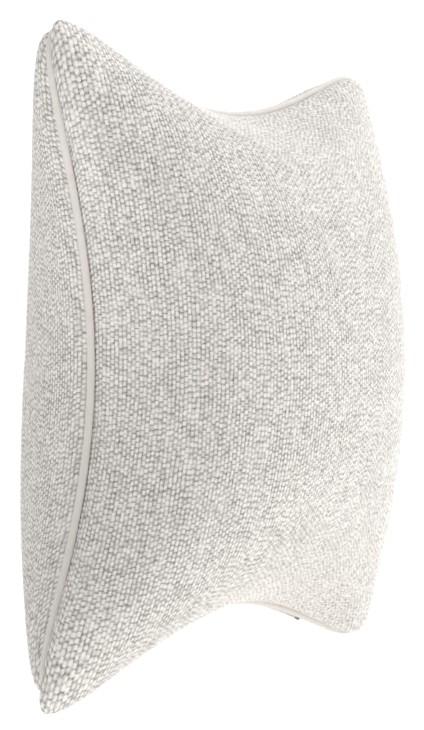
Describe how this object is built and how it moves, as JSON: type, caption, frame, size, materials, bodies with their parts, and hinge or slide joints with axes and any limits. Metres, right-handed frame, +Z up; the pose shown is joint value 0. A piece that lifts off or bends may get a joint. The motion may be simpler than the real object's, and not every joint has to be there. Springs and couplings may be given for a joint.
{
  "type": "lumbar support cushion",
  "caption": "Plump square cushion with a piped edge: nubby woven cover, zip in the bottom seam, fibre-filled insert.",
  "frame": {"origin": "bottom centre of the bounding box, on the surface that the lower corners stand on", "axes": "+Z up the cushion, +X across it, +Y through it from the front panel to the back panel"},
  "size_m": [0.4394, 0.228, 0.4396],
  "materials": {
    "woven_cloth": "matte",
    "piping_cloth": "matte",
    "cotton": "matte",
    "fibre": "matte",
    "thread_and_tape": "satin",
    "coil_nylon": "satin",
    "zip_metal": "satin",
    "label_satin": "satin"
  },
  "bodies": {
    "root": {"cover_front_panel": "woven_cloth", "cover_back_panel": "woven_cloth", "piping_casing": "piping_cloth", "piping_filler_cord": "cotton", "cover_needle_thread": "thread_and_tape", "cover_bobbin_thread": "thread_and_tape", "cover_front_overlock": "thread_and_tape", "cover_back_overlock": "thread_and_tape", "insert_front_shell": "cotton", "insert_back_shell": "cotton", "insert_seam_thread": "thread_and_tape", "insert_fill": "fibre", "zip_tape_front": "thread_and_tape", "zip_tape_back": "thread_and_tape", "zip_coil_front": "coil_nylon", "zip_coil_back": "coil_nylon", "zip_stitch_front": "thread_and_tape", "zip_stitch_back": "thread_and_tape", "zip_top_stop_front": "zip_metal", "zip_top_stop_back": "zip_metal", "zip_bottom_stop": "zip_metal", "care_label": "label_satin"},
    "zip_slider": {"zip_slider_body": "zip_metal"},
    "zip_pull": {"zip_pull_tab": "zip_metal"}
  },
  "joints": [
    {"name": "zip_travel", "type": "hinge", "parent": "root", "child": "zip_slider", "pos_m": [0, 0.007, -0.30851], "axis": [0, -1, 0], "range_deg": [0, 44.4]},
    {"name": "pull_hinge", "type": "hinge", "parent": "zip_slider", "child": "zip_pull", "pos_m": [0.13426, 0.007, 0.01974], "axis": [0, -1, 0], "range_deg": [0, 180]}
  ]
}
